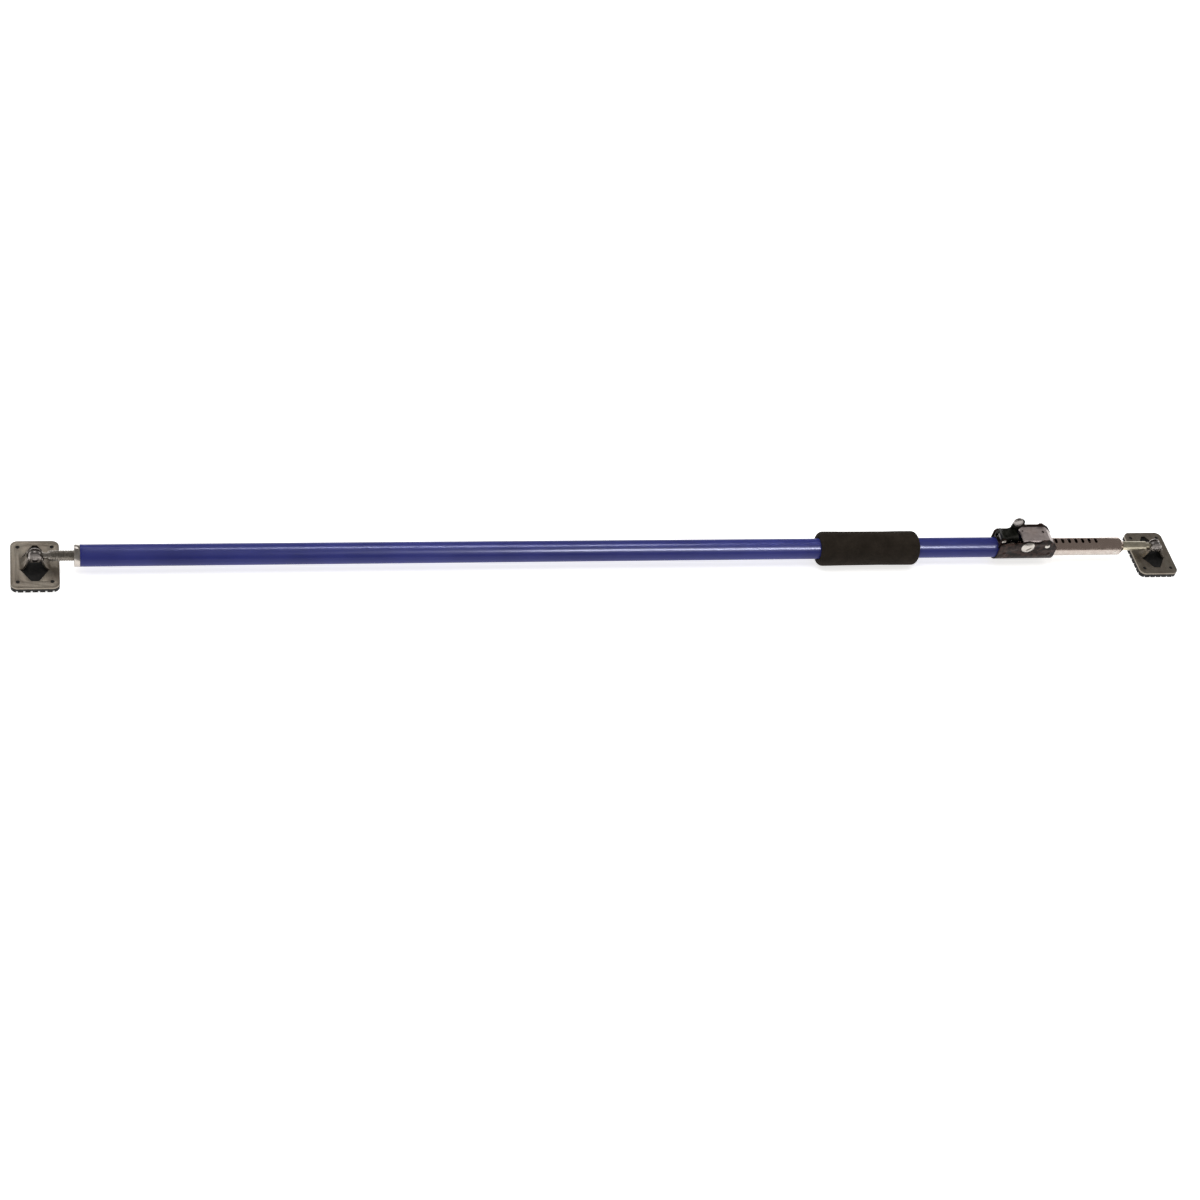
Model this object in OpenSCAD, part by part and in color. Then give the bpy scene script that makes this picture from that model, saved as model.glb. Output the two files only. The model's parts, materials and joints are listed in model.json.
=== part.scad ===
// Ratcheting bed cargo bar: a telescoping bar with a ball-jointed rubber foot at each end.
// X runs along the bar, Y across it, Z up. The bar lies on its two feet on the plane Z = 0.

/* [Bar] */
// Distance between the two ball centres
ball_span = 1570; // [1550:1:1590]
// Outside diameter of the outer tube
tube_d = 28.6; // [28:0.1:29]
// Wall of the outer tube
tube_wall = 1.52; // [1.5:0.01:1.6]
// Position of the outer tube's left end
tube_left = -730; // [-735:1:-715]
// Position of the outer tube's right end, inside the ratchet housing
tube_right = 613; // [611:1:616]
// Outside diameter of the slotted inner tube
rack_d = 25.4; // [25.3:0.1:25.4]
// Wall of the slotted inner tube
rack_wall = 2; // [1.5:0.1:2.5]
// Position of the inner tube's hidden end
rack_left = 270; // [250:1:290]
// Position of the inner tube's visible end
rack_right = 724.6; // [715:0.1:730]

/* [Rack slots] */
// Distance from slot to slot
slot_pitch = 10.5; // [10.5:0.1:10.6]
// Slot size along the bar
slot_w = 4.5; // [4.3:0.1:5]
// Slot size across the bar, with its round ends
slot_len = 9; // [8:0.1:9.5]
// Slots outward of the holding tooth
slots_out = 13; // [12:1:13]
// Slots inward of the holding tooth
slots_in = 23; // [22:1:24]

/* [Foam grip] */
// Position of the grip's left end
grip_left = 262.5; // [200:0.5:300]
// Length of the grip
grip_len = 146; // [120:1:200]
// Outside diameter of the grip
grip_d = 48; // [42:1:48]
// Radius of the grip's rounded rims
grip_round = 7; // [3:0.5:8]

/* [Feet] */
// Foot size along the bar
foot_x = 60; // [56:1:64]
// Foot size across the bar
foot_y = 80; // [76:1:84]
// Corner radius of the foot
foot_corner = 9; // [6:1:12]
// Thickness of the foot's steel plate
plate_t = 2.5; // [2:0.1:3]
// Thickness of the foot's rubber with its tread
rubber_t = 6; // [5.5:0.5:8]
// Depth of the tread grooves
tread_depth = 2.5; // [2:0.5:3]
// Height of the ball centre above the plate
ball_lift = 15.5; // [15.5:0.5:16.5]
// Diameter of the ball
ball_d = 16; // [15.5:0.5:16.5]
// Diameter of the neck next to the ball
neck_d = 8.6; // [8:0.2:9]
// Wall of the hood that holds the ball
hood_t = 1.6; // [1.4:0.1:1.8]

/* [Studs] */
// Diameter of the left, threaded stud
left_stud_d = 14.3; // [13:0.1:14.3]
// Diameter of the right, plain stud
right_stud_d = 13; // [12:0.1:14]
// Visible width of the left end bushing
bushing_rim = 7.3; // [6:0.1:9]

/* [Ratchet] */
// Thickness of the housing's steel
housing_t = 2; // [1.8:0.1:2.2]
// Lever pivot, position along the bar
lever_pivot_x = 571.6; // [571:0.1:572]
// Lever pivot, height above the bar's axis
lever_pivot_h = 16; // [15.8:0.1:16.4]
// Distance from the lever pivot to the drive pawl's pin
crank_r = 12.6; // [12.4:0.1:12.8]
// Angle of that pin above the level line, lever folded
crank_angle = 28; // [27:0.5:28]
// Diameter of the lever pivot pin's domed head
pivot_head_d = 19.6; // [17:0.1:20]
// Release pivot, position along the bar
release_pivot_x = 534; // [533.5:0.1:534.5]
// Release pivot, height above the bar's axis
release_pivot_h = 22; // [21.8:0.1:22.4]
// Position of the holding tooth, in a slot of the rack
holding_tooth_x = 548.6; // [548.4:0.1:548.8]
// Slots from the holding tooth to the driving tooth
tooth_gap_slots = 4; // [4:1:4]

/* [Hidden] */
$fn = 64;
run = 0.05;
snug = 0.02;
axis_z = rubber_t + plate_t + ball_lift;
left_ball_x = -ball_span / 2;
right_ball_x = ball_span / 2;
tube_bore = tube_d / 2 - tube_wall;
cut = 1;

ball_r = ball_d / 2;
hood_in = ball_r + 0.3;
hood_out = hood_in + hood_t;
hood_half = 7.4;
leg_half = 9.4;
leg_root = 19.6;
neck_len = 15;
slot_half = neck_d / 2 + 0.5;
peg_x = foot_x / 2 - 9;
peg_y = foot_y / 2 - 10.5;
peg_r = 2.5;

bushing_left = tube_left - bushing_rim;
plug_depth = 22;
cone_len = 6.5;

window_left = 544;
window_half = 7.5;
housing_left = 529;
housing_right = 617;
housing_in = tube_d / 2 + 0.1;
housing_out = housing_in + housing_t;
wall_top = 33;

pin_r = 2.5;
small_pin_r = 2;
front_pin_x = 601;
front_pin_h = 18;
lever_left = 562;
lever_out = 13.6;
lever_t = 2;
lever_top = 27.2;
nose_x = 603.5;
nose_run = [9.4, -7.9];
lever_holes = [[566.2, 5.5, 1.3], [597.5, 3.5, 2]];
drive_pin_x = lever_pivot_x + crank_r * cos(crank_angle);
drive_pin_h = lever_pivot_h + crank_r * sin(crank_angle);
drive_tooth_x = holding_tooth_x + tooth_gap_slots * slot_pitch;
tooth_half = 1.5;
tooth_low = rack_d / 2 - 1.2;
pawl_half = 2.6;
pawl_rivet_x = 546;
pawl_rivet_h = 21;
pawl_rivet_r = 1.6;
release_in = 6.4;
release_out = 8.4;
release_pin_r = 2.25;
ear_in = 8.9;
ear_out = 11;
knob_x = 552.4;
knob_h = 46.4;
knob_r = 6.8;
knob_t = 4.2;

// ---- shared shapes ----

// Lays a cylinder along X between two stations, centred on the bar's axis
module bar_rod(x0, x1, r) {
    translate([x0, 0, axis_z])
        rotate([0, 90, 0])
            cylinder(h = x1 - x0, r = r);
}

// Lays a cylinder across the bar at a station x and a height h above the axis
module cross_rod(x, h, y0, y1, r) {
    translate([x, y1, axis_z + h])
        rotate([90, 0, 0])
            cylinder(h = y1 - y0, r = r);
}

// Stands a side view (x, height above the axis) up and gives it a width across the bar
module side_plate(y0, y1) {
    translate([0, y1, axis_z])
        rotate([90, 0, 0])
            linear_extrude(height = y1 - y0)
                children();
}

// A side view of a round eye
module eye(x, h, r) {
    translate([x, h])
        circle(r = r);
}

// A domed rivet head whose flat side faces the wall at y; side is 1 for +Y and -1 for -Y
module dome_head(x, h, y, side, r, rise) {
    translate([x, y, axis_z + h])
        rotate([-90 * side, 0, 0])
            rotate_extrude()
                intersection() {
                    translate([0, rise - (r * r + rise * rise) / (2 * rise)])
                        circle(r = (r * r + rise * rise) / (2 * rise), $fn = 96);
                    square([r + cut, rise + cut]);
                }
}

// A wound torsion spring round a cross pin
module torsion_coil(x, h, y0, turns, coil_r, wire_r) {
    translate([x, y0, axis_z + h])
        rotate([-90, 0, 0])
            rotate_extrude()
                for (i = [0 : turns - 1])
                    translate([coil_r, wire_r + i * 1.8 * wire_r])
                        circle(r = wire_r, $fn = 24);
}

// ---- outer bar ----

module outer_tube() {
    color([0.16, 0.17, 0.45])
        difference() {
            bar_rod(tube_left, tube_right, tube_d / 2);
            bar_rod(tube_left - cut, tube_right + cut, tube_bore);
            translate([window_left, -window_half, axis_z])
                cube([tube_right - window_left + cut, 2 * window_half, tube_d]);
            housing_rivet_holes();
        }
}

module foam_grip() {
    bore = tube_d / 2 + 0.05;
    wall = grip_d / 2 - bore;
    color([0.12, 0.11, 0.11])
        translate([grip_left, 0, axis_z])
            rotate([0, 90, 0])
                rotate_extrude($fn = 96)
                    difference() {
                        union() {
                            translate([bore, 0])
                                square([wall - grip_round, grip_len]);
                            translate([bore, grip_round])
                                square([wall, grip_len - 2 * grip_round]);
                            for (z = [grip_round, grip_len - grip_round])
                                translate([grip_d / 2 - grip_round, z])
                                    circle(r = grip_round);
                        }
                        translate([0, -cut])
                            square([bore, grip_len + 2 * cut]);
                    }
}

module end_bushing() {
    color([0.8, 0.8, 0.82])
        difference() {
            union() {
                bar_rod(bushing_left, tube_left, tube_d / 2);
                bar_rod(tube_left, tube_left + 30, tube_bore - snug);
            }
            bar_rod(bushing_left - cut, tube_left + 31, left_stud_d / 2 + run);
        }
}

// ---- feet ----

// Plan of a foot, with round corners
module foot_plan() {
    square([foot_x, foot_y - 2 * foot_corner], center = true);
    square([foot_x - 2 * foot_corner, foot_y], center = true);
    for (x = [-1, 1])
        for (y = [-1, 1])
            translate([x * (foot_x / 2 - foot_corner), y * (foot_y / 2 - foot_corner)])
                circle(r = foot_corner);
}

// The pressed opening: a diamond with blunt tips, under and beside the hood
module foot_opening() {
    near = [4.8, 28.6];
    far = [2.8, 32.4];
    shoulder = [17.6, 9.4];
    polygon([
        [-shoulder[0], -shoulder[1]], [-near[0], -near[1]], [near[0], -near[1]], [shoulder[0], -shoulder[1]],
        [shoulder[0], shoulder[1]], [far[0], far[1]], [-far[0], far[1]], [-shoulder[0], shoulder[1]]
    ]);
}

// One leg of the hood: it leaves the plate level, curves up to the hood and narrows on the way
module hood_leg(floor_h) {
    top_h = 0.5;
    intersection() {
        translate([0, leg_half, 0])
            rotate([90, 0, 0])
                linear_extrude(height = 2 * leg_half)
                    polygon([
                        [leg_root, floor_h], [leg_root, floor_h + plate_t], [16.6, -14.3], [13.7, -11.2],
                        [11.7, -7], [10.2, -2.5], [9.7, top_h], [7.6, top_h], [8.1, -3], [9.4, -7.8],
                        [11.4, -12.4], [14.2, -16], [17.2, floor_h]
                    ]);
        translate([0, 0, floor_h])
            linear_extrude(height = top_h - floor_h)
                polygon([
                    [leg_root, leg_half], [14, leg_half], [7, hood_half - 1],
                    [7, 1 - hood_half], [14, -leg_half], [leg_root, -leg_half]
                ]);
    }
}

// Steel plate of a foot with the hood drawn up over the ball; the ball centre is at the origin
module pad_plate() {
    floor_h = -ball_lift - plate_t;
    difference() {
        union() {
            translate([0, 0, floor_h])
                linear_extrude(height = plate_t)
                    difference() {
                        foot_plan();
                        foot_opening();
                        for (x = [-peg_x, peg_x])
                            for (y = [-peg_y, peg_y])
                                translate([x, y])
                                    circle(r = peg_r + snug);
                    }
            intersection() {
                sphere(r = hood_out);
                translate([-hood_out, -hood_half, -4])
                    cube([2 * hood_out, 2 * hood_half, 2 * hood_out]);
            }
            for (side = [0, 1])
                mirror([side, 0, 0])
                    hood_leg(floor_h);
        }
        sphere(r = hood_in);
        translate([-leg_root, -slot_half, -slot_half - 0.1])
            cube([2 * leg_root, 2 * slot_half, 3 * hood_out]);
    }
}

// Rubber of a foot, with a tread below and four pegs that hold it to the plate
module pad_rubber() {
    top = -ball_lift - plate_t;
    bottom = top - rubber_t;
    block = 6.6;
    pitch_x = (foot_x - block) / 6;
    pitch_y = (foot_y - block) / 8;
    groove_x = pitch_x - block;
    groove_y = pitch_y - block;
    difference() {
        translate([0, 0, bottom])
            linear_extrude(height = rubber_t)
                foot_plan();
        for (i = [-2.5 : 1 : 2.5])
            translate([i * pitch_x - groove_x / 2, -foot_y / 2 - cut, bottom - cut])
                cube([groove_x, foot_y + 2 * cut, tread_depth + cut]);
        for (i = [-3.5 : 1 : 3.5])
            translate([-foot_x / 2 - cut, i * pitch_y - groove_y / 2, bottom - cut])
                cube([foot_x + 2 * cut, groove_y, tread_depth + cut]);
    }
    for (x = [-peg_x, peg_x])
        for (y = [-peg_y, peg_y])
            translate([x, y, top - cut])
                cylinder(h = cut + plate_t - 0.4, r = peg_r);
}

// A ball with a blind bore for the neck, which leaves towards +X
module ball() {
    difference() {
        sphere(r = ball_r, $fn = 96);
        rotate([0, 90, 0])
            translate([0, 0, -3])
                cylinder(h = ball_r + 4, r = neck_d / 2 - 1 + run);
    }
}

// A stud with its neck and spigot; the ball centre is at the origin and the stud runs towards +X
module stud(r, length) {
    rotate([0, 90, 0]) {
        translate([0, 0, -2.5])
            cylinder(h = neck_len, r = neck_d / 2 - 1);
        translate([0, 0, ball_r])
            cylinder(h = neck_len - ball_r + cut, r = neck_d / 2);
        translate([0, 0, neck_len])
            cylinder(h = 1.5, r1 = neck_d / 2, r2 = r);
        translate([0, 0, neck_len + 1.5])
            cylinder(h = length - neck_len - 1.5, r = r);
    }
}

module left_stud() {
    color([0.5, 0.49, 0.46])
        translate([left_ball_x, 0, axis_z])
            stud(left_stud_d / 2, 110);
}

module left_ball() {
    color([0.75, 0.74, 0.72])
        translate([left_ball_x, 0, axis_z])
            ball();
}

module left_pad_plate() {
    color([0.63, 0.59, 0.53])
        translate([left_ball_x, 0, axis_z])
            pad_plate();
}

module left_pad_rubber() {
    color([0.1, 0.1, 0.1])
        translate([left_ball_x, 0, axis_z])
            pad_rubber();
}

module right_stud() {
    color([0.6, 0.58, 0.54])
        translate([right_ball_x, 0, axis_z])
            mirror([1, 0, 0])
                stud(right_stud_d / 2, right_ball_x - rack_right + plug_depth - 4);
}

module right_ball() {
    color([0.75, 0.74, 0.72])
        translate([right_ball_x, 0, axis_z])
            rotate([0, 0, 180])
                ball();
}

module right_pad_plate() {
    color([0.63, 0.59, 0.53])
        translate([right_ball_x, 0, axis_z])
            pad_plate();
}

module right_pad_rubber() {
    color([0.1, 0.1, 0.1])
        translate([right_ball_x, 0, axis_z])
            pad_rubber();
}

// ---- rack ----

// One slot cutter with round ends, cut through the rack's top wall only
module slot_cutter(x) {
    end = slot_len / 2 - slot_w / 2;
    translate([x, 0, axis_z + rack_d / 4])
        union() {
            translate([-slot_w / 2, -end, 0])
                cube([slot_w, 2 * end, rack_d / 2]);
            for (y = [-end, end])
                translate([0, y, 0])
                    cylinder(h = rack_d / 2, r = slot_w / 2, $fn = 32);
        }
}

module rack_tube() {
    color([0.6, 0.56, 0.53])
        difference() {
            bar_rod(rack_left, rack_right, rack_d / 2);
            bar_rod(rack_left - cut, rack_right + cut, rack_d / 2 - rack_wall);
            for (i = [-slots_in : slots_out])
                slot_cutter(holding_tooth_x + i * slot_pitch);
            cross_rod(rack_right - 9, 0, -rack_d, rack_d, small_pin_r + snug);
        }
}

module rack_end_plug() {
    color([0.7, 0.66, 0.6])
        difference() {
            union() {
                bar_rod(rack_right - plug_depth, rack_right, rack_d / 2 - rack_wall - run);
                translate([rack_right, 0, axis_z])
                    rotate([0, 90, 0])
                        cylinder(h = cone_len, r1 = rack_d / 2, r2 = right_stud_d / 2 + 0.8);
            }
            bar_rod(rack_right - plug_depth - cut, rack_right + cone_len + cut, right_stud_d / 2 + snug);
            cross_rod(rack_right - 9, 0, -rack_d, rack_d, small_pin_r + snug);
        }
}

// The right stud's end is drilled for this pin together with the plug and the tube
module rack_plug_pin() {
    color([0.75, 0.74, 0.72])
        for (side = [-1, 1])
            cross_rod(
                rack_right - 9, 0,
                side > 0 ? right_stud_d / 2 + snug : -rack_d / 2,
                side > 0 ? rack_d / 2 : -right_stud_d / 2 - snug,
                small_pin_r
            );
}

// ---- ratchet housing and its fasteners ----

// Side view of both of the housing's walls
module housing_side() {
    polygon([
        [housing_left, -housing_out - cut], [housing_left, 18], [housing_left + 3, 21.5], [550, 21.5],
        [555, 23.5], [588, 23.5], [592, 29], [602, 29], [610, 24], [housing_right, 15],
        [housing_right, -9], [housing_right - 5, -housing_out - cut]
    ]);
}

// Side view of the far wall's raised middle, which backs the lever
module housing_far_side() {
    polygon([
        [560, 20], [566, 29.4], [592.5, 29.4], [594.5, 31.5], [599, 31.5], [602, 29.4], [609, 25], [609, 20]
    ]);
}

module ratchet_housing() {
    color([0.13, 0.1, 0.1])
        intersection() {
            difference() {
                union() {
                    bar_rod(housing_left, housing_right, housing_out);
                    translate([housing_left, -housing_out, axis_z])
                        cube([housing_right - housing_left, 2 * housing_out, wall_top]);
                }
                bar_rod(housing_left - cut, housing_right + cut, housing_in);
                translate([housing_left - cut, -housing_in, axis_z])
                    cube([housing_right - housing_left + 2 * cut, 2 * housing_in, wall_top + cut]);
                cross_rod(lever_pivot_x, lever_pivot_h, -20, 20, pin_r + snug);
                cross_rod(front_pin_x, front_pin_h, -20, 20, pin_r + snug);
                housing_rivet_holes();
            }
            union() {
                side_plate(-20, 20)
                    housing_side();
                side_plate(0, 20)
                    housing_far_side();
            }
        }
}

// Places the rivets that hold the housing to the tube: one pair at each end
function rivet_stations() = [[539, 3], [608, 2]];

module housing_rivet_holes() {
    for (s = rivet_stations())
        cross_rod(s[0], s[1], -20, 20, small_pin_r + snug);
}

module housing_rivets() {
    color([0.75, 0.73, 0.7])
        for (s = rivet_stations())
            for (side = [-1, 1]) {
                inner = tube_bore + 0.12;
                cross_rod(
                    s[0], s[1],
                    side > 0 ? inner : -housing_out - 0.1,
                    side > 0 ? housing_out + 0.1 : -inner,
                    small_pin_r
                );
                dome_head(s[0], s[1], side * housing_out, side, 3.2, 1.3);
            }
}

module front_pin() {
    color([0.8, 0.78, 0.74])
        union() {
            cross_rod(front_pin_x, front_pin_h, -housing_out - 0.1, housing_out + 0.1, pin_r);
            for (side = [-1, 1])
                dome_head(front_pin_x, front_pin_h, side * housing_out, side, 3.8, 1.6);
        }
}

// The lever turns on this pin; its large domed head has a driver slot
module lever_pivot_pin() {
    color([0.93, 0.88, 0.85])
        difference() {
            union() {
                cross_rod(lever_pivot_x, lever_pivot_h, -housing_out - 0.1, housing_out + 2.4, pin_r);
                dome_head(lever_pivot_x, lever_pivot_h, -housing_out, -1, pivot_head_d / 2, 3.4);
            }
            translate([lever_pivot_x, -housing_out - 3.4, axis_z + lever_pivot_h])
                rotate([0, -40, 0])
                    cube([13, 2.2, 2.4], center = true);
        }
}

module pivot_washer() {
    color([0.7, 0.68, 0.65])
        difference() {
            cross_rod(lever_pivot_x, lever_pivot_h, housing_out, housing_out + 1.4, 6.5);
            cross_rod(lever_pivot_x, lever_pivot_h, 0, 30, pin_r + snug);
        }
}

// ---- drive lever and drive pawl ----

// Side view of the lever's cheeks
module lever_side() {
    eye(lever_pivot_x, lever_pivot_h, 5.2);
    polygon([
        [565.5, lever_pivot_h], [lever_left, lever_top - lever_t / 2], [nose_x, lever_top - lever_t / 2],
        [nose_x + nose_run[0] - 1, lever_top + nose_run[1] + 0.6], [605, 20.6], [592, 21.5], [575, 12.4],
        [568, 13]
    ]);
}

// Side view of the lever's top web and its sloping nose
module lever_web_side() {
    polygon([
        [lever_left, lever_top - lever_t], [lever_left, lever_top - 0.8], [lever_left + 1.2, lever_top],
        [nose_x, lever_top], [nose_x + nose_run[0], lever_top + nose_run[1]],
        [nose_x + nose_run[0] - 1.3, lever_top + nose_run[1] - 1.5], [nose_x - 0.7, lever_top - lever_t]
    ]);
}

module drive_lever() {
    color([0.55, 0.52, 0.5])
        difference() {
            union() {
                for (side = [-1, 1])
                    side_plate(
                        side > 0 ? lever_out - lever_t : -lever_out,
                        side > 0 ? lever_out : lever_t - lever_out
                    )
                        lever_side();
                side_plate(-lever_out, lever_out)
                    lever_web_side();
            }
            cross_rod(lever_pivot_x, lever_pivot_h, -20, 20, pin_r + run);
            cross_rod(drive_pin_x, drive_pin_h, -20, 20, small_pin_r + snug);
            for (hole = lever_holes)
                translate([hole[0], hole[1], axis_z + lever_top - lever_t - cut])
                    cylinder(h = lever_t + 2 * cut, r = hole[2], $fn = 32);
        }
}

module drive_pawl_pin() {
    color([0.75, 0.74, 0.72])
        cross_rod(drive_pin_x, drive_pin_h, -lever_out, lever_out, small_pin_r);
}

module drive_pawl() {
    heel = 3;
    color([0.5, 0.49, 0.47])
        difference() {
            union() {
                cross_rod(drive_pin_x, drive_pin_h, lever_t + 0.3 - lever_out, pawl_half, heel);
                side_plate(-pawl_half, pawl_half)
                    polygon([
                        [drive_pin_x + 0.6, drive_pin_h + heel - 0.2], [drive_tooth_x + tooth_half, 17.5],
                        [drive_tooth_x + tooth_half, rack_d / 2 + 1],
                        [drive_tooth_x + tooth_half - 0.3, tooth_low],
                        [drive_tooth_x - tooth_half + 0.3, tooth_low], [drive_tooth_x - tooth_half - 0.6, 14],
                        [drive_pin_x - 0.6, drive_pin_h - heel + 0.2]
                    ]);
            }
            cross_rod(drive_pin_x, drive_pin_h, -20, 20, small_pin_r + run);
        }
}

module drive_pawl_spring() {
    color([0.6, 0.6, 0.6])
        torsion_coil(drive_pin_x, drive_pin_h, pawl_half + 0.5, 5, 2.6, 0.45);
}

// ---- release lever and holding pawl ----

// Saddle on the tube with two ears for the release pin
module release_bracket() {
    left = 529.4;
    width = 9.4;
    color([0.13, 0.1, 0.1])
        difference() {
            union() {
                for (side = [-1, 1])
                    side_plate(side > 0 ? ear_in : -ear_out, side > 0 ? ear_out : -ear_in)
                        union() {
                            translate([left, 8])
                                square([width, release_pivot_h - 8]);
                            eye(release_pivot_x, release_pivot_h, 4.1);
                        }
                translate([left, -ear_out, axis_z + 8])
                    cube([width, 2 * ear_out, 8.2]);
            }
            bar_rod(500, 560, tube_d / 2 + 0.1);
            cross_rod(release_pivot_x, release_pivot_h, -20, 20, release_pin_r + snug);
        }
}

module release_pin() {
    color([0.85, 0.84, 0.82])
        union() {
            cross_rod(release_pivot_x, release_pivot_h, -ear_out - 0.1, ear_out + 0.1, release_pin_r);
            for (side = [-1, 1])
                dome_head(release_pivot_x, release_pivot_h, side * ear_out, side, 3.4, 1.5);
        }
}

// Side view of both of the release lever's cheeks
module release_side() {
    eye(release_pivot_x, release_pivot_h, 4.2);
    polygon([
        [529.9, 25.6], [530.7, 31.6], [533.4, 29], [538, 27.7], [545.8, 31.8], [553.3, 33],
        [557.5, 24], [555.8, 18], [534.5, 17.9], [530.5, 23.5]
    ]);
}

// Side view of the far cheek's hooked arm, which carries the knob
module knob_arm_side() {
    polygon([
        [545.8, 28], [547.4, 43.5], [549.8, 49.2], [553.5, 50.4], [559.5, 49.8], [564.2, 45.6], [565.2, 40.5],
        [557.5, 24]
    ]);
}

// Side view of the thumb plate that joins the cheeks
module release_top_side() {
    polygon([
        [529.9, 25.6], [530.7, 31.6], [533.4, 29], [538, 27.7], [545.8, 31.8], [553.3, 33],
        [554.2, 31], [546.4, 29.8], [538.2, 25.7], [531.7, 27], [531.4, 25.4]
    ]);
}

module release_lever() {
    color([0.1, 0.1, 0.09])
        difference() {
            union() {
                for (side = [-1, 1])
                    side_plate(side > 0 ? release_in : -release_out, side > 0 ? release_out : -release_in)
                        release_side();
                side_plate(release_in, release_out)
                    knob_arm_side();
                side_plate(-release_out, release_out)
                    release_top_side();
            }
            cross_rod(release_pivot_x, release_pivot_h, -20, 20, release_pin_r + run);
            cross_rod(pawl_rivet_x, pawl_rivet_h, -20, 20, pawl_rivet_r + snug);
            cross_rod(knob_x, knob_h, 0, 20, small_pin_r + snug);
        }
}

module release_spring() {
    color([0.6, 0.6, 0.6])
        torsion_coil(release_pivot_x, release_pivot_h, pawl_half + 0.4, 3, 2.95, 0.42);
}

module holding_pawl() {
    heel = 3.6;
    color([0.5, 0.49, 0.47])
        difference() {
            union() {
                cross_rod(release_pivot_x, release_pivot_h, 0.2 - release_in, pawl_half, heel);
                side_plate(-pawl_half, pawl_half)
                    polygon([
                        [release_pivot_x + 0.5, release_pivot_h + heel - 0.2], [pawl_rivet_x, 24.2],
                        [holding_tooth_x + tooth_half + 0.4, 18],
                        [holding_tooth_x + tooth_half, rack_d / 2 + 1],
                        [holding_tooth_x + tooth_half - 0.4, tooth_low],
                        [holding_tooth_x - tooth_half + 0.3, tooth_low],
                        [holding_tooth_x - tooth_half - 0.5, 14.6], [544.8, 15.8],
                        [release_pivot_x - 0.5, release_pivot_h - heel + 0.2]
                    ]);
            }
            cross_rod(release_pivot_x, release_pivot_h, -20, 20, release_pin_r + run);
            cross_rod(pawl_rivet_x, pawl_rivet_h, -20, 20, pawl_rivet_r + snug);
        }
}

module holding_pawl_rivet() {
    color([0.75, 0.74, 0.72])
        cross_rod(pawl_rivet_x, pawl_rivet_h, -release_out, release_out, pawl_rivet_r);
}

// Round knob on the near face of the far cheek's arm, for a finger to pull; its shank is riveted over behind
module release_knob() {
    color([0.75, 0.76, 0.78])
        union() {
            cross_rod(knob_x, knob_h, release_in - cut, release_out + 0.1, small_pin_r);
            cross_rod(knob_x, knob_h, release_in - knob_t, release_in, knob_r);
            dome_head(knob_x, knob_h, release_in - knob_t, -1, knob_r, 1.4);
            dome_head(knob_x, knob_h, release_out, 1, 3.2, 1.2);
        }
}

outer_tube();
foam_grip();
end_bushing();
left_stud();
left_ball();
left_pad_plate();
left_pad_rubber();
ratchet_housing();
housing_rivets();
front_pin();
lever_pivot_pin();
pivot_washer();
drive_lever();
drive_pawl_pin();
drive_pawl();
drive_pawl_spring();
release_bracket();
release_pin();
release_lever();
release_spring();
holding_pawl();
holding_pawl_rivet();
release_knob();
rack_tube();
rack_end_plug();
rack_plug_pin();
right_stud();
right_ball();
right_pad_plate();
right_pad_rubber();
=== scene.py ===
"""Looks of the ratcheting bed cargo bar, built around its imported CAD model."""

import json
import math

import bmesh
import bpy
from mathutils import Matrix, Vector, noise


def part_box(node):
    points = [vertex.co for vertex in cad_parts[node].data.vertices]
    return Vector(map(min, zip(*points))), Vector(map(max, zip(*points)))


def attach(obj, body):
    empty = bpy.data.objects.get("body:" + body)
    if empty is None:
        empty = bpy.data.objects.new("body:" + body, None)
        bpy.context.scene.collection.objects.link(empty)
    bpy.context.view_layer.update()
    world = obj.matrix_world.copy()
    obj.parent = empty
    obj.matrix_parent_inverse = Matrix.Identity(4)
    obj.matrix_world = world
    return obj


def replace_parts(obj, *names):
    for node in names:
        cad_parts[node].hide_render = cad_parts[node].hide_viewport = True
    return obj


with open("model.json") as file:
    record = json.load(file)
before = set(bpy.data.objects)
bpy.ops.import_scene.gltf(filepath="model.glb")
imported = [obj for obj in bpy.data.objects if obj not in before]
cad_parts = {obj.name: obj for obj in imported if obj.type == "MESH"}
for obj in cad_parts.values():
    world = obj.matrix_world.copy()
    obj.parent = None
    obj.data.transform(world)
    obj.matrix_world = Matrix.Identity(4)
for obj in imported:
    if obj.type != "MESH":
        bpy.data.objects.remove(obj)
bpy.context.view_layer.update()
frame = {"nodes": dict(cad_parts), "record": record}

NODES = frame["nodes"]
RECORD = frame["record"]
MM = 0.001
SLOT = {row["node"]: row["material_slot"] for row in RECORD["subparts"]}
BODY = {node: body for body, nodes in RECORD["behaviour"]["bodies"].items() for node in nodes}
PIVOT = {
    joint["name"]: Vector(joint["pos_m"])
    for joint in RECORD["behaviour"]["joints"] if "pos_m" in joint
}


def centre(node):
    """Middle of a CAD node's box."""
    low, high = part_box(node)
    return (low + high) / 2


def size(node):
    """Extent of a CAD node's box."""
    low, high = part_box(node)
    return high - low


AXIS_Z = centre("outer_tube").z
LEFT_BALL = PIVOT["left_foot_swing"]


# ---- camera, light and floor ----

CAMERA_PLACE = (-0.7925, -1.8343, AXIS_Z + 2.0024)
CAMERA_TURN_DEG = (42.2447, -10.8503, -10.8525)
CAMERA_LENS_MM = 62.69
CAMERA_SENSOR_MM = 36
CAMERA_REACH = 50


def add_camera():
    data = bpy.data.cameras.new("camera")
    data.sensor_width = CAMERA_SENSOR_MM
    data.lens = CAMERA_LENS_MM
    data.clip_end = CAMERA_REACH
    camera = bpy.data.objects.new("camera", data)
    camera.location = CAMERA_PLACE
    camera.rotation_euler = [math.radians(a) for a in CAMERA_TURN_DEG]
    bpy.context.scene.collection.objects.link(camera)
    bpy.context.scene.camera = camera


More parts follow.
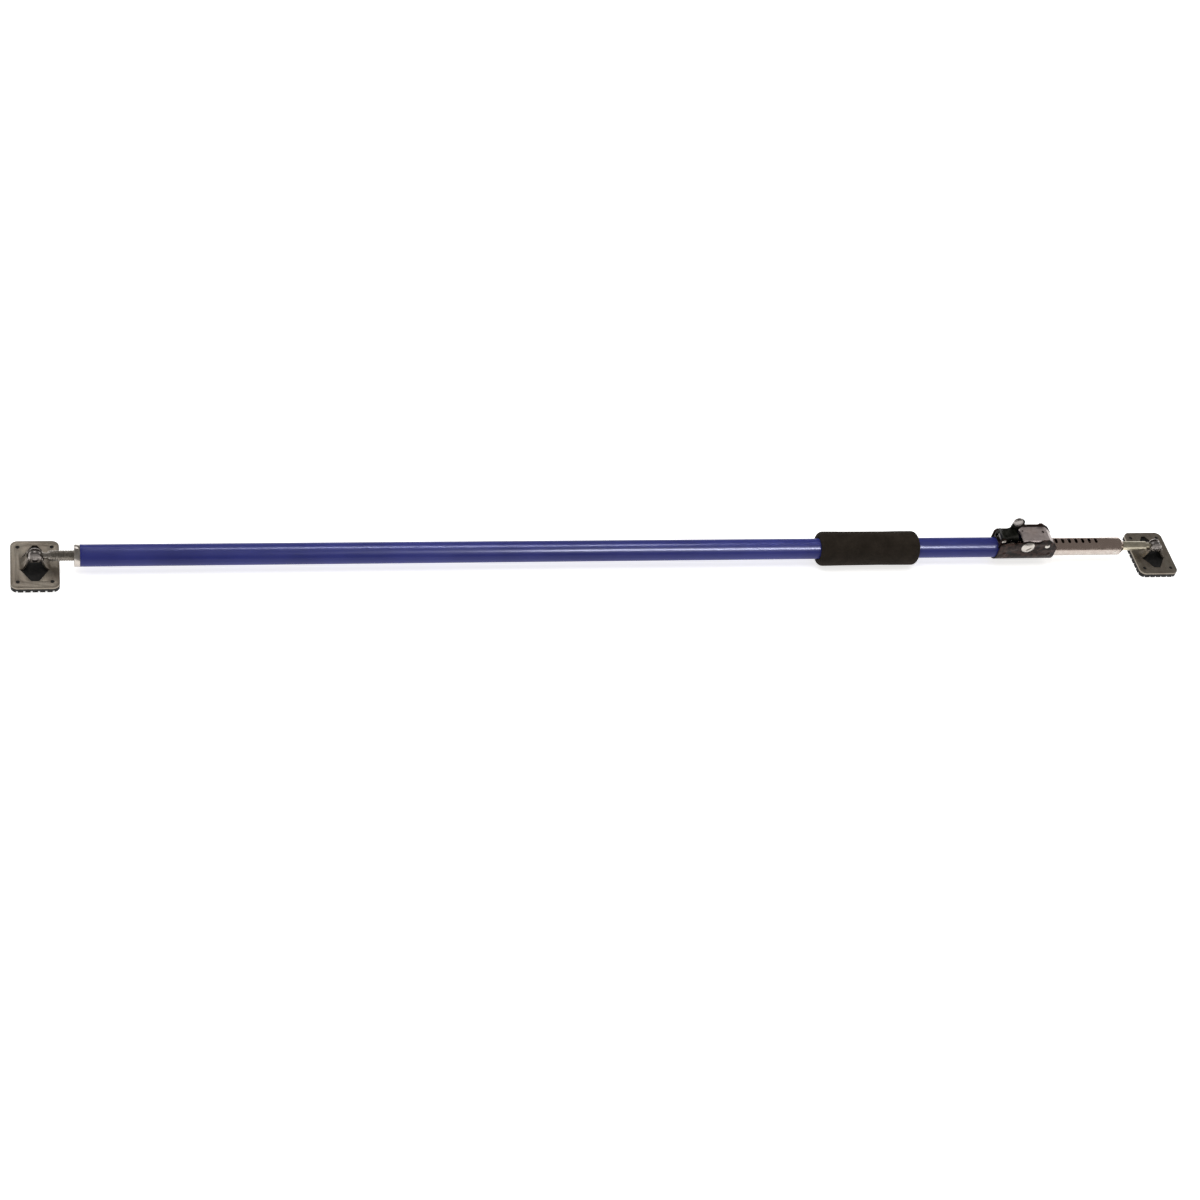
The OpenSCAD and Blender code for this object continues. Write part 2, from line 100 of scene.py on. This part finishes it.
STRIP_TINT = (0.8, 0.82, 1)
STRIP_RECEIVERS = bpy.data.collections.new("strip_receivers")
WORLD_TINT = (1, 0.985, 0.965, 1)
WORLD_STRENGTH = 0.24
FLOOR_REACH = 7
FLOOR_GLOW = (1, 0.995, 0.985, 1)
FLOOR_GLOW_STRENGTH = 0.72


def add_softbox(name, place, target, width, depth, power, glossy=True, receivers=None):
    """Rectangular light. With receivers, a collection, it shows only as a reflection in those pieces."""
    data = bpy.data.lights.new(name, "AREA")
    data.shape = "RECTANGLE"
    data.size = width
    data.size_y = depth
    data.energy = power
    data.color = STRIP_TINT if receivers else (1, 1, 1)
    lamp = bpy.data.objects.new(name, data)
    lamp.location = place
    lamp.rotation_euler = (Vector(target) - Vector(place)).to_track_quat("-Z", "Y").to_euler()
    lamp.visible_glossy = glossy
    if receivers:
        lamp.visible_diffuse = False
        lamp.light_linking.receiver_collection = receivers
    bpy.context.scene.collection.objects.link(lamp)


def add_studio():
    """Bright paper floor under a dim ceiling, a broad top light, a weak back light, and two strips
    that draw the long reflections on the outer tube."""
    world = bpy.data.worlds.new("studio")
    world.use_nodes = True
    background = world.node_tree.nodes["Background"]
    background.inputs["Color"].default_value = WORLD_TINT
    background.inputs["Strength"].default_value = WORLD_STRENGTH
    bpy.context.scene.world = world
    bpy.context.scene.view_settings.view_transform = "Standard"
    add_softbox("overhead", (0.0, 0.4, 3.0), (0, 0, 0), 4.0, 3.0, 95, glossy=False)
    add_softbox("back_left", (-0.95, 1.6, 1.75), (-0.75, 0, 0), 1.0, 0.7, 7)
    add_softbox("left_strip", (0.05, 0.48, 1.5), (0.05, 0, 0), 1.08, 0.26, 40, receivers=STRIP_RECEIVERS)
    add_softbox("right_strip", (0.88, -1.16, 1.55), (0.88, 0, 0), 1.16, 0.5, 165, receivers=STRIP_RECEIVERS)
    mesh = bpy.data.meshes.new("floor")
    corners = [(x * FLOOR_REACH, y * FLOOR_REACH, 0) for x, y in ((-1, -1), (1, -1), (1, 1), (-1, 1))]
    mesh.from_pydata(corners, [], [(0, 1, 2, 3)])
    floor = bpy.data.objects.new("floor", mesh)
    bpy.context.scene.collection.objects.link(floor)
    paper = Shader("floor_paper", (0.88, 0.88, 0.875), roughness=0.95, specular_ior_level=0.1)
    paper.set("Emission Color", FLOOR_GLOW)
    paper.set("Emission Strength", FLOOR_GLOW_STRENGTH)
    paper.bump([(paper.noise(90, 4), 0.02)], 0.002)
    mesh.materials.append(paper.material)


# ---- materials ----

class Shader:
    """A Principled material with a few helpers for procedural detail, in metres of object space."""

    def __init__(self, name, color, roughness=0.5, metallic=0.0, **sockets):
        self.material = bpy.data.materials.new(name)
        self.material.use_nodes = True
        self.tree = self.material.node_tree
        self.bsdf = self.tree.nodes["Principled BSDF"]
        self.set("Base Color", (*color, 1))
        self.set("Roughness", roughness)
        self.set("Metallic", metallic)
        for key, value in sockets.items():
            self.set(key.replace("_", " ").title().replace("Ior", "IOR"), value)
        self.coord = self.tree.nodes.new("ShaderNodeTexCoord").outputs["Object"]

    def set(self, socket, value):
        self.bsdf.inputs[socket].default_value = value

    def link(self, out, into):
        self.tree.links.new(out, into)

    def stretched(self, scale):
        node = self.tree.nodes.new("ShaderNodeMapping")
        node.inputs["Scale"].default_value = scale
        self.link(self.coord, node.inputs["Vector"])
        return node.outputs["Vector"]

    def noise(self, scale, detail=3, rough=0.55, stretch=None, distortion=0.0):
        node = self.tree.nodes.new("ShaderNodeTexNoise")
        node.inputs["Scale"].default_value = scale
        node.inputs["Detail"].default_value = detail
        node.inputs["Roughness"].default_value = rough
        node.inputs["Distortion"].default_value = distortion
        self.link(self.stretched(stretch) if stretch else self.coord, node.inputs["Vector"])
        return node.outputs["Fac"]

    def cells(self, scale):
        node = self.tree.nodes.new("ShaderNodeTexVoronoi")
        node.inputs["Scale"].default_value = scale
        self.link(self.coord, node.inputs["Vector"])
        return node.outputs["Distance"]

    def height(self):
        node = self.tree.nodes.new("ShaderNodeSeparateXYZ")
        self.link(self.coord, node.inputs["Vector"])
        return node.outputs["Z"]

    def ramp(self, fac, low, high, low_at=0.35, high_at=0.65):
        node = self.tree.nodes.new("ShaderNodeValToRGB")
        first, last = node.color_ramp.elements
        first.position, last.position = low_at, high_at
        first.color = (*low, 1) if hasattr(low, "__len__") else (low, low, low, 1)
        last.color = (*high, 1) if hasattr(high, "__len__") else (high, high, high, 1)
        self.link(fac, node.inputs["Fac"])
        return node.outputs["Color"]

    def mix(self, fac, a, b):
        node = self.tree.nodes.new("ShaderNodeMix")
        node.data_type = "RGBA"
        for value, index in ((a, 6), (b, 7)):
            if hasattr(value, "is_linked"):
                self.link(value, node.inputs[index])
            else:
                node.inputs[index].default_value = (*value, 1)
        if hasattr(fac, "is_linked"):
            self.link(fac, node.inputs["Factor"])
        else:
            node.inputs["Factor"].default_value = fac
        return node.outputs[2]

    def color(self, out):
        self.link(out, self.bsdf.inputs["Base Color"])

    def roughness(self, fac, low, high, low_at=0.3, high_at=0.7):
        self.link(self.ramp(fac, low, high, low_at, high_at), self.bsdf.inputs["Roughness"])

    def bump(self, layers, distance):
        """Stacks height layers, each (output, strength), into the normal."""
        normal = None
        for height, strength in layers:
            node = self.tree.nodes.new("ShaderNodeBump")
            node.inputs["Strength"].default_value = strength
            node.inputs["Distance"].default_value = distance
            self.link(height, node.inputs["Height"])
            if normal:
                self.link(normal, node.inputs["Normal"])
            normal = node.outputs["Normal"]
        self.link(normal, self.bsdf.inputs["Normal"])


def blue_paint():
    m = Shader(
        "blue_powder_coat", (0.021, 0.024, 0.15), 0.34,
        coat_weight=0.1, coat_roughness=0.14, specular_ior_level=0.12,
    )
    cloud = m.noise(9, 3)
    scuff = m.noise(60, 5, 0.7, stretch=(0.25, 5, 5))
    speck = m.noise(2200, 2)
    tone = m.mix(m.ramp(cloud, 0, 1), (0.0195, 0.023, 0.133), (0.028, 0.033, 0.184))
    fleck = m.mix(m.ramp(speck, 0, 0.35, 0.62, 0.8), tone, (0.042, 0.049, 0.25))
    m.color(m.mix(m.ramp(scuff, 0, 0.25, 0.66, 0.8), fleck, (0.07, 0.078, 0.24)))
    m.roughness(scuff, 0.26, 0.42)
    m.bump([(m.noise(520, 2), 0.1), (m.noise(2600, 2), 0.04)], 0.0005)
    return m.material


def grip_foam():
    m = Shader("grip_foam", (0.02, 0.018, 0.017), 0.93, specular_ior_level=0.08)
    pores = m.cells(1500)
    blotch = m.noise(55, 4)
    worn = m.noise(14, 3)
    tone = m.mix(m.ramp(blotch, 0, 1), (0.0172, 0.0134, 0.0099), (0.028, 0.022, 0.0169))
    # Painted shade: the colour darkens towards the middle of each pore cell, where the bump sinks a pit.
    tone_with_painted_pore_shade = m.mix(m.ramp(pores, 0.6, 0, 0.1, 0.45), tone, (0.005, 0.005, 0.005))
    m.color(m.mix(m.ramp(worn, 0, 0.35, 0.5, 0.75), tone_with_painted_pore_shade, (0.042, 0.0345, 0.0275)))
    m.roughness(blotch, 0.85, 0.98)
    m.bump([(pores, 0.5), (m.noise(700, 4, 0.7), 0.45), (m.noise(120, 3), 0.25)], 0.0006)
    return m.material


PLATING_MOTTLE = 140


def plated(name, dark, light, tint, rough, streak=None, grain=0.04, metallic=1.0, upper_painted_light=None):
    """Zinc-plated steel: cloudy plating, small stains, fine streaks and a light grain. The last argument,
    (low, high, color), is painted light: the plating turns towards that colour between the two heights and
    stays so above them."""
    m = Shader(name, light, rough, metallic=metallic)
    cloud = m.noise(PLATING_MOTTLE, 5, 0.62, distortion=0.4)
    patch = m.noise(PLATING_MOTTLE / 6, 4, 0.6)
    fine = m.noise(1900, 3, 0.6, stretch=streak)
    tone = m.mix(m.ramp(cloud, 0, 1, 0.3, 0.7), dark, light)
    toned = m.mix(m.ramp(patch, 0, 0.5, 0.45, 0.75), tone, tint)
    streaks_and_painted_light = m.mix(m.ramp(fine, 0, 0.3, 0.5, 0.75), toned, dark)
    # Painted light: from the lower height up, the colour is blended three quarters of the way to the given
    # colour. This stands in for a highlight or reflection on the upper side.
    if upper_painted_light:
        low, high, bright = upper_painted_light
        streaks_and_painted_light = m.mix(m.ramp(m.height(), 0, 0.75, low, high), streaks_and_painted_light, bright)
    m.color(streaks_and_painted_light)
    m.roughness(cloud, rough - 0.07, rough + 0.1)
    m.bump([(fine, grain), (m.noise(420, 3), grain)], 0.0002)
    return m.material


def black_enamel(name, color, tint, rough, coat):
    """Black paint with a light orange peel, dust and rubbed patches."""
    m = Shader(name, color, rough, coat_weight=coat, coat_roughness=0.12, specular_ior_level=0.12)
    m.set("Specular Tint", (1, 0.86, 0.82, 1))
    cloud = m.noise(160, 4)
    rub = m.noise(700, 5, 0.7, stretch=(0.4, 1, 1))
    tone = m.mix(m.ramp(cloud, 0, 1, 0.44, 0.6), color, tint)
    m.color(m.mix(m.ramp(rub, 0, 0.4, 0.64, 0.8), tone, tuple(c * 3 + 0.01 for c in tint)))
    m.roughness(rub, rough - 0.06, rough + 0.18)
    m.bump([(m.noise(620, 2), 0.14), (m.noise(2400, 2), 0.05)], 0.0004)
    return m.material


def foot_rubber():
    m = Shader("foot_rubber", (0.02, 0.02, 0.019), 0.72, specular_ior_level=0.3)
    cloud = m.noise(180, 4)
    dust = m.noise(420, 5, 0.7)
    tone = m.mix(m.ramp(cloud, 0, 1), (0.0075, 0.0075, 0.0075), (0.016, 0.015, 0.0145))
    m.color(m.mix(m.ramp(dust, 0, 0.35, 0.55, 0.8), tone, (0.042, 0.038, 0.033)))
    m.roughness(dust, 0.62, 0.86)
    m.bump([(m.noise(1500, 3), 0.25), (m.noise(260, 3), 0.15)], 0.0005)
    return m.material


def make_materials():
    return {
        "blue_paint": blue_paint(),
        "grip_foam": grip_foam(),
        "bright_steel": plated(
            "bright_steel", (0.42, 0.39, 0.36), (0.58, 0.54, 0.5), (0.38, 0.33, 0.3), 0.26, grain=0.02
        ),
        # Painted shade: the ball steel is a darker copy of the bright steel. It stands in for the shade the
        # ball sits in under the hood.
        "ball_steel": plated(
            "ball_steel", (0.22, 0.2, 0.19), (0.36, 0.335, 0.32), (0.22, 0.19, 0.17), 0.3, grain=0.02
        ),
        "thread_steel": plated(
            "thread_steel", (0.275, 0.25, 0.22), (0.475, 0.44, 0.395), (0.21, 0.18, 0.15), 0.36
        ),
        # Painted highlight: the raised hood above the pad plate turns to a lighter colour from just under
        # the axis height up, as its lit rim would look.
        "foot_zinc": plated(
            "foot_zinc", (0.21, 0.18, 0.143), (0.33, 0.295, 0.245), (0.2, 0.155, 0.125), 0.44, grain=0.08,
            metallic=0.85, upper_painted_light=(AXIS_Z - 0.006, AXIS_Z + 0.004, (0.5, 0.46, 0.445)),
        ),
        "foot_rubber": foot_rubber(),
        "black_paint": black_enamel(
            "black_enamel", (0.006, 0.004, 0.0035), (0.042, 0.024, 0.02), 0.36, 0.04
        ),
        "rivet_steel": plated(
            "rivet_steel", (0.45, 0.42, 0.38), (0.62, 0.58, 0.54), (0.4, 0.35, 0.3), 0.3, grain=0.03
        ),
        "lever_zinc": plated(
            "lever_zinc", (0.42, 0.36, 0.35), (0.66, 0.58, 0.565), (0.46, 0.34, 0.285), 0.42, grain=0.06,
            metallic=0.8,
        ),
        "pawl_steel": plated(
            "pawl_steel", (0.12, 0.11, 0.1), (0.22, 0.21, 0.2), (0.1, 0.085, 0.08), 0.42, grain=0.06
        ),
        "spring_steel": plated(
            "spring_steel", (0.3, 0.3, 0.3), (0.45, 0.44, 0.43), (0.25, 0.23, 0.21), 0.3, grain=0.02
        ),
        "release_black": black_enamel(
            "release_black", (0.003, 0.0035, 0.0025), (0.012, 0.013, 0.01), 0.42, 0.03
        ),
        # Painted reflection: above the axis height the rack turns browner and darker, where its surface
        # mirrors the dim room instead of the pale floor.
        "rack_zinc": plated(
            "rack_zinc", (0.38, 0.325, 0.295), (0.56, 0.51, 0.47), (0.33, 0.265, 0.23), 0.22,
            streak=(0.12, 1, 1), upper_painted_light=(AXIS_Z + 0.003, AXIS_Z + 0.006, (0.53, 0.395, 0.335)),
        ),
        "stud_zinc": plated(
            "stud_zinc", (0.5, 0.455, 0.35), (0.78, 0.71, 0.56), (0.46, 0.385, 0.28), 0.36,
            streak=(0.3, 1, 1),
        ),
    }


def dress(materials):
    """Gives every CAD node the material of its slot."""
    for node, slot in SLOT.items():
        for row in NODES[node].material_slots:
            row.material = materials[slot]


# ---- pieces ----

def add_piece(name, data, node):
    """Links mesh or curve data as the visible piece for a CAD node, on that node's body and in its slot."""
    obj = bpy.data.objects.new(name, data)
    bpy.context.scene.collection.objects.link(obj)
    data.materials.clear()
    data.materials.append(MATERIALS[SLOT[node]])
    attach(obj, BODY[node])
    return obj


def to_mesh(bm, name):
    """Turns a finished bmesh into smooth-shaded mesh data with outward faces."""
    bmesh.ops.recalc_face_normals(bm, faces=bm.faces)
    for face in bm.faces:
        face.smooth = True
    mesh = bpy.data.meshes.new(name)
    bm.to_mesh(mesh)
    bm.free()
    return mesh


WELD = 2e-6
FLAT_DEG = 0.5
SHARP_DEG = 32


def finished(node, width, cuts=()):
    """A finished copy of a CAD node: its sharp edges are broken with a small radius, as deburring leaves
    them. Each cut splits the faces at that X, so that smooth shading doesn't bend over a long face."""
    bm = bmesh.new()
    bm.from_mesh(NODES[node].data)
    bmesh.ops.remove_doubles(bm, verts=bm.verts, dist=WELD)
    bmesh.ops.dissolve_limit(bm, angle_limit=math.radians(FLAT_DEG), verts=bm.verts, edges=bm.edges)
    for x in cuts:
        whole = bm.verts[:] + bm.edges[:] + bm.faces[:]
        bmesh.ops.bisect_plane(bm, geom=whole, plane_co=(x, 0, 0), plane_no=(1, 0, 0), dist=1e-6)
    obj = add_piece(node + "_finished", to_mesh(bm, node + "_finished"), node)
    bevel = obj.modifiers.new("edges", "BEVEL")
    bevel.width = width * MM
    bevel.segments = 2
    bevel.limit_method = "ANGLE"
    bevel.angle_limit = math.radians(SHARP_DEG)
    bevel.miter_outer = "MITER_ARC"
    bevel.harden_normals = True
    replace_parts(obj, node)
    return obj


def lathe_x(profile, start, segments=64):
    """Turns a profile of (distance along X, radius) in mm, from the point start, into a bmesh."""
    bm = bmesh.new()
    rings = []
    for x, r in profile:
        rings.append([
            bm.verts.new(start + Vector((x, r * math.cos(a), r * math.sin(a))) * MM)
            for a in (2 * math.pi * i / segments for i in range(segments))
        ])
    for low, high in zip(rings, rings[1:]):
        for i in range(segments):
            j = (i + 1) % segments
            bm.faces.new((low[i], low[j], high[j], high[i]))
    return bm, rings


def arc(cx, cr, radius, start, end, steps):
    """Points of a round corner in a lathe profile; angles in degrees, 0 along X and 90 outward."""
    return [
        (cx + radius * math.cos(math.radians(a)), cr + radius * math.sin(math.radians(a)))
        for a in (start + (end - start) * i / steps for i in range(steps + 1))
    ]


def add_grip():
    """Foam sleeve: rounded rims, a slight waist between hand and rims, and an uneven moulded surface."""
    low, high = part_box("foam_grip")
    start = Vector((low.x, 0, AXIS_Z))
    length = (high.x - low.x) / MM
    outer = (high.z - low.z) / 2 / MM
    bore = size("outer_tube").z / 2 / MM + 0.05
    rim = 7.0
    steps = 60
    waist = 0.35
    segments = 96
    profile = [(1.0, bore), (0.3, bore + 0.5), (0.0, bore + 1.3)]
    profile += arc(rim, outer - rim, rim, 180, 90, 10)
    for i in range(1, steps):
        t = i / steps
        profile.append((rim + (length - 2 * rim) * t, outer - waist * math.sin(math.pi * t) ** 2))
    profile += arc(length - rim, outer - rim, rim, 90, 0, 10)
    profile += [(length, bore + 1.3), (length - 0.3, bore + 0.5), (length - 1.0, bore)]
    bm, rings = lathe_x(profile, start, segments)
    for i in range(segments):
        j = (i + 1) % segments
        bm.faces.new((rings[-1][i], rings[-1][j], rings[0][j], rings[0][i]))
    skin = (bore + 2.5) * MM
    for vert in bm.verts:
        spoke = Vector((0, vert.co.y, vert.co.z - AXIS_Z))
        if spoke.length > skin:
            swell = 0.35 * MM * (0.5 + 0.5 * noise.noise(vert.co * 42))
            pebble = 0.08 * MM * abs(noise.noise(vert.co * 230))
            vert.co += spoke.normalized() * (-swell - pebble)
    grip = add_piece("grip_sleeve", to_mesh(bm, "grip_sleeve"), "foam_grip")
    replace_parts(grip, "foam_grip")


def close_end(bm, ring, middle):
    """Closes a lathe ring with a fan round its middle point."""
    hub = bm.verts.new(middle)
    for i, vert in enumerate(ring):
        bm.faces.new((vert, ring[(i + 1) % len(ring)], hub))


def add_threaded_stud():
    """Fine adjuster: a turned neck in the ball, a shoulder, and a rolled thread of 2 mm pitch."""
    low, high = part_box("left_stud")
    start = Vector((LEFT_BALL.x, 0, AXIS_Z))
    reach = (high.x - start.x) / MM
    root = (low.x - start.x) / MM
    radius = (high.z - low.z) / 2 / MM
    pitch = 2.0
    depth = 1.0
    shoulder = 17.5
    neck = [(root, 2.7), (root + 0.6, 3.3), (7.9, 3.3), (8.1, 4.2), (14.2, 4.2)]
    neck += [(15.0, 4.4), (15.7, 5.2), (16.2, 6.1)]
    threads = [(shoulder - 1 + i * pitch / 8, 0) for i in range(int((reach - shoulder) / pitch * 8))]
    segments = 32
    end = [(reach - 0.4, radius - depth), (reach, radius - 1.6)]
    bm, rings = lathe_x(neck + threads + end, start, segments)
    for ring, (x, _) in zip(rings[len(neck):], threads):
        fade = min(1, max(0, (x - shoulder) / 2.5)) * min(1, max(0, (reach - x) / 3))
        for i, vert in enumerate(ring):
            phase = (x / pitch - i / segments) % 1
            ridge = min(1, max(0, 1.45 - abs(phase - 0.5) * 3.4))
            r = radius - depth + depth * ridge * fade
            a = 2 * math.pi * i / segments
            vert.co = start + Vector((x, r * math.cos(a), r * math.sin(a))) * MM
    close_end(bm, rings[0], start + Vector((root, 0, 0)) * MM)
    close_end(bm, rings[-1], start + Vector((reach, 0, 0)) * MM)
    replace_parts(add_piece("adjuster_screw", to_mesh(bm, "adjuster_screw"), "left_stud"), "left_stud")


def add_spring(node, pin, wire, legs):
    """Torsion spring of round wire about a cross pin; each leg is (angle in degrees, length in mm)."""
    low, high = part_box(node)
    radius = (high.z - low.z) / 2 - wire * MM
    width = high.y - low.y - 2 * wire * MM
    first, last = legs[0][0], legs[1][0]
    turns = round(width / MM / (2.1 * wire)) + ((last - first) % 360) / 360
    steps = int(turns * 20)

    def point(angle, along):
        return pin + Vector((radius * math.cos(angle), along - pin.y, radius * math.sin(angle)))

    angles = [math.radians(first) + 2 * math.pi * turns * i / steps for i in range(steps + 1)]
    coil = [point(a, low.y + wire * MM + width * i / steps) for i, a in enumerate(angles)]
    head = coil[0] + Vector((math.sin(angles[0]), 0, -math.cos(angles[0]))) * legs[0][1] * MM
    tail = coil[-1] + Vector((-math.sin(angles[-1]), 0, math.cos(angles[-1]))) * legs[1][1] * MM
    curve = bpy.data.curves.new(node + "_wire", "CURVE")
    curve.dimensions = "3D"
    curve.bevel_depth = wire * MM
    curve.bevel_resolution = 3
    curve.use_fill_caps = True
    spline = curve.splines.new("POLY")
    route = [head] + coil + [tail]
    spline.points.add(len(route) - 1)
    for row, place in zip(spline.points, route):
        row.co = (*place, 1)
    spline.use_smooth = True
    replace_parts(add_piece(node + "_wire", curve, node), node)


# Radius of the broken edges of each metal or rubber node, in mm
EDGES_MM = {
    "ratchet_housing": 0.5, "housing_rivets": 0.2, "front_pin": 0.2, "lever_pivot_pin": 0.3,
    "pivot_washer": 0.25, "drive_lever": 0.5, "drive_pawl": 0.25, "drive_pawl_pin": 0.3,
    "release_bracket": 0.4, "release_pin": 0.2,
    "release_lever": 0.5, "release_knob": 0.6, "holding_pawl": 0.25, "holding_pawl_rivet": 0.2,
    "rack_tube": 0.3, "rack_end_plug": 0.4, "rack_plug_pin": 0.2, "end_bushing": 0.5,
    "left_pad_plate": 0.6, "right_pad_plate": 0.6, "left_pad_rubber": 0.5, "right_pad_rubber": 0.5,
    "right_stud": 0.3, "left_ball": 0.2, "right_ball": 0.2,
}

TUBE_EDGE_MM = 0.3
TUBE_CUTS = (-0.725, -0.7, -0.35, 0.0, 0.35, 0.5, 0.53)

add_camera()
add_studio()
MATERIALS = make_materials()
dress(MATERIALS)
for part, radius in EDGES_MM.items():
    finished(part, radius)
STRIP_RECEIVERS.objects.link(finished("outer_tube", TUBE_EDGE_MM, TUBE_CUTS))
add_grip()
add_threaded_stud()
add_spring("drive_pawl_spring", PIVOT["pawl_swing"], 0.45, ((-40, 5), (150, 4)))
add_spring("release_spring", PIVOT["release_press"], 0.42, ((-100, 4), (20, 7)))
